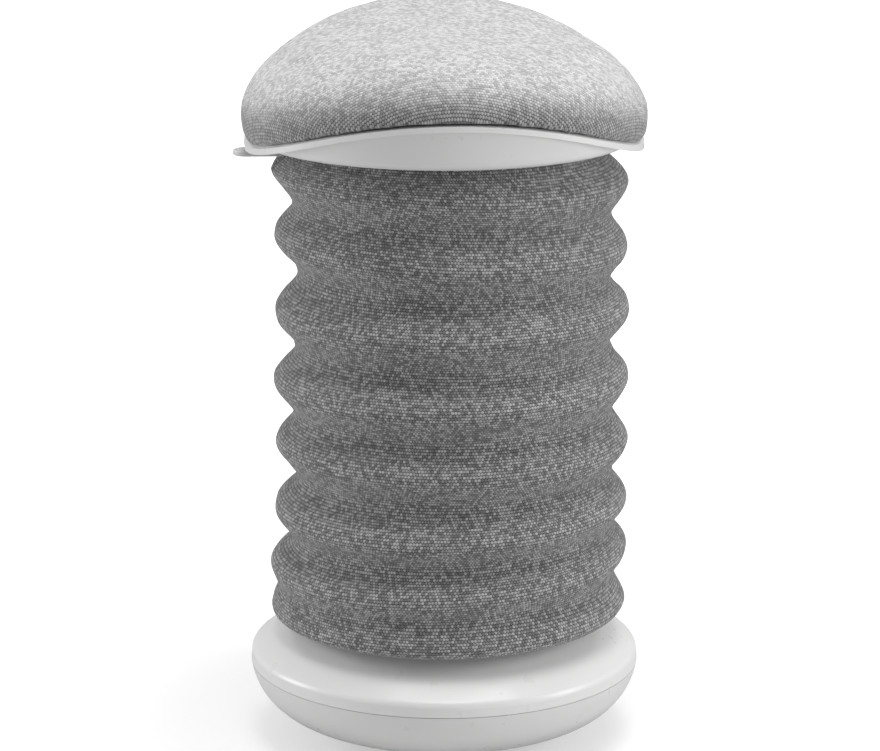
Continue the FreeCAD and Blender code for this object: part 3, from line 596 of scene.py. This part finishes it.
def cushion_stitch(mesh):
    """Stitch grid of the cover: flat over the top, carried on down the sides, where it is open and
    painted darker as shade.
    """
    values = []
    for vertex in mesh.vertices:
        x, y, z = vertex.co
        radius = math.hypot(x, y)
        drop = max(crown_z(x, y) - z, 0.0)
        stretch = (radius + drop) / max(radius, 1e-6)
        # share of the painted shade and of the open look down the sides
        shaded_side = clamp((drop - SHADED_SIDE_START) / SHADED_SIDE_REACH, 0.0, 1.0)
        values.append((x * stretch / CUSHION_PITCH, y * stretch / CUSHION_PITCH, eased(shaded_side)))
    set_stitch(mesh, values)


def make_cushion(materials):
    """The padded seat, remeshed evenly, swollen by the simulation and then made finer."""
    obj = bpy.data.objects.new("padded_seat", cushion_form())
    bpy.context.scene.collection.objects.link(obj)
    remesh = obj.modifiers.new("remesh", "REMESH")
    remesh.mode = "VOXEL"
    remesh.voxel_size = PAD_VOXEL
    relax = obj.modifiers.new("relax", "CORRECTIVE_SMOOTH")
    relax.use_only_smooth = True
    relax.iterations = RELAX_ROUNDS
    obj.data = evaluated_mesh(obj)
    obj.modifiers.clear()
    held = np.array([is_held(vertex.co) for vertex in obj.data.vertices])
    normals = [vertex.normal.copy() for vertex in obj.data.vertices]
    for vertex, normal, fixed in zip(obj.data.vertices, normals, held):
        if not fixed:
            vertex.co -= normal * START_INSET
    inflate(obj, held)
    subdivide = obj.modifiers.new("subdivide", "SUBSURF")
    subdivide.levels = subdivide.render_levels = 1
    final = evaluated_mesh(obj)
    obj.modifiers.clear()
    obj.vertex_groups.clear()
    obj.data = final
    final.materials.clear()
    final.materials.append(materials["cushion_fabric"])
    final.shade_smooth()
    cushion_stitch(final)
    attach(obj, "lift")
    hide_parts("seat_cushion")


# Room


def make_floor():
    """Pale floor that turns into the white of the background away from the stool."""
    n = Nodes("floor")
    seen = n.add("ShaderNodeLightPath").outputs["Is Camera Ray"]
    distance = n.add("ShaderNodeVectorMath", operation="LENGTH")
    n.put(distance.inputs[0], n.coordinates())
    half = n.math("MULTIPLY", distance.outputs["Value"], 0.5)
    glow = n.mix(seen, (0, 0, 0, 1), n.ramp(half, [(0.12, 0.42), (0.75, 1.0)]))
    mesh = bpy.data.meshes.new("floor")
    far = FLOOR_REACH
    mesh.from_pydata([(-far, -far, 0), (far, -far, 0), (far, far, 0), (-far, far, 0)],
                     [], [(0, 1, 2, 3)])
    floor = bpy.data.objects.new("floor", mesh)
    bpy.context.scene.collection.objects.link(floor)
    mesh.materials.append(n.finish(Base_Color=(FLOOR_GREY, FLOOR_GREY, FLOOR_GREY, 1),
                                   Roughness=0.8, Emission_Color=glow, Emission_Strength=1.0))


def make_world():
    """Even light from all round, which the camera and reflections see as pale grey."""
    world = bpy.data.worlds.new("studio")
    bpy.context.scene.world = world
    world.use_nodes = True
    tree = world.node_tree
    path = tree.nodes.new("ShaderNodeLightPath")
    seen = path.outputs["Is Camera Ray"]
    for kind in ("Is Glossy Ray", "Is Transmission Ray"):
        either = tree.nodes.new("ShaderNodeMath")
        either.operation = "MAXIMUM"
        tree.links.new(seen, either.inputs[0])
        tree.links.new(path.outputs[kind], either.inputs[1])
        seen = either.outputs[0]
    background = tree.nodes["Background"]
    background.inputs["Strength"].default_value = WORLD_STRENGTH
    background.inputs["Color"].default_value = (1, 1, 1, 1)
    backdrop = tree.nodes.new("ShaderNodeBackground")
    backdrop.inputs["Strength"].default_value = 1.0
    mixed = tree.nodes.new("ShaderNodeMixShader")
    tree.links.new(seen, mixed.inputs[0])
    tree.links.new(background.outputs[0], mixed.inputs[1])
    tree.links.new(backdrop.outputs[0], mixed.inputs[2])
    tree.links.new(mixed.outputs[0], tree.nodes["World Output"].inputs["Surface"])


def area_lamp(name, place, target, width, height, watts):
    lamp = bpy.data.lights.new(name, "AREA")
    lamp.shape = "RECTANGLE"
    lamp.size, lamp.size_y = width, height
    lamp.energy = watts
    obj = bpy.data.objects.new(name, lamp)
    bpy.context.scene.collection.objects.link(obj)
    obj.location = place
    obj.rotation_mode = "QUATERNION"
    obj.rotation_quaternion = (Vector(target) - Vector(place)).to_track_quat("-Z", "Y")


def make_lamps():
    area_lamp("key", (0.2, -0.3, 2.6), (0, 0, 0.3), 1.6, 1.6, 40)
    area_lamp("right", (2.3, -0.7, 1.0), (0, 0, 0.25), 0.9, 1.2, 21)
    area_lamp("left", (-2.4, 0.5, 0.9), (0, 0, 0.2), 0.9, 1.2, 22)


def make_camera():
    data = bpy.data.cameras.new("camera")
    data.sensor_width = SENSOR
    data.lens = FOCAL_PIXELS * SENSOR / IMAGE_WIDTH
    camera = bpy.data.objects.new("camera", data)
    bpy.context.scene.collection.objects.link(camera)
    camera.location = CAMERA_PLACE
    camera.rotation_euler = (math.radians(90 - CAMERA_PITCH), 0, math.radians(CAMERA_TURN))
    data.clip_start = 0.1
    data.clip_end = 60
    bpy.context.scene.camera = camera


bpy.context.scene.view_settings.view_transform = "Standard"
finishes = make_materials()
dress_frame(finishes)
make_sleeve(finishes)
make_hoops(finishes)
make_cushion(finishes)
make_floor()
make_world()
make_lamps()
make_camera()
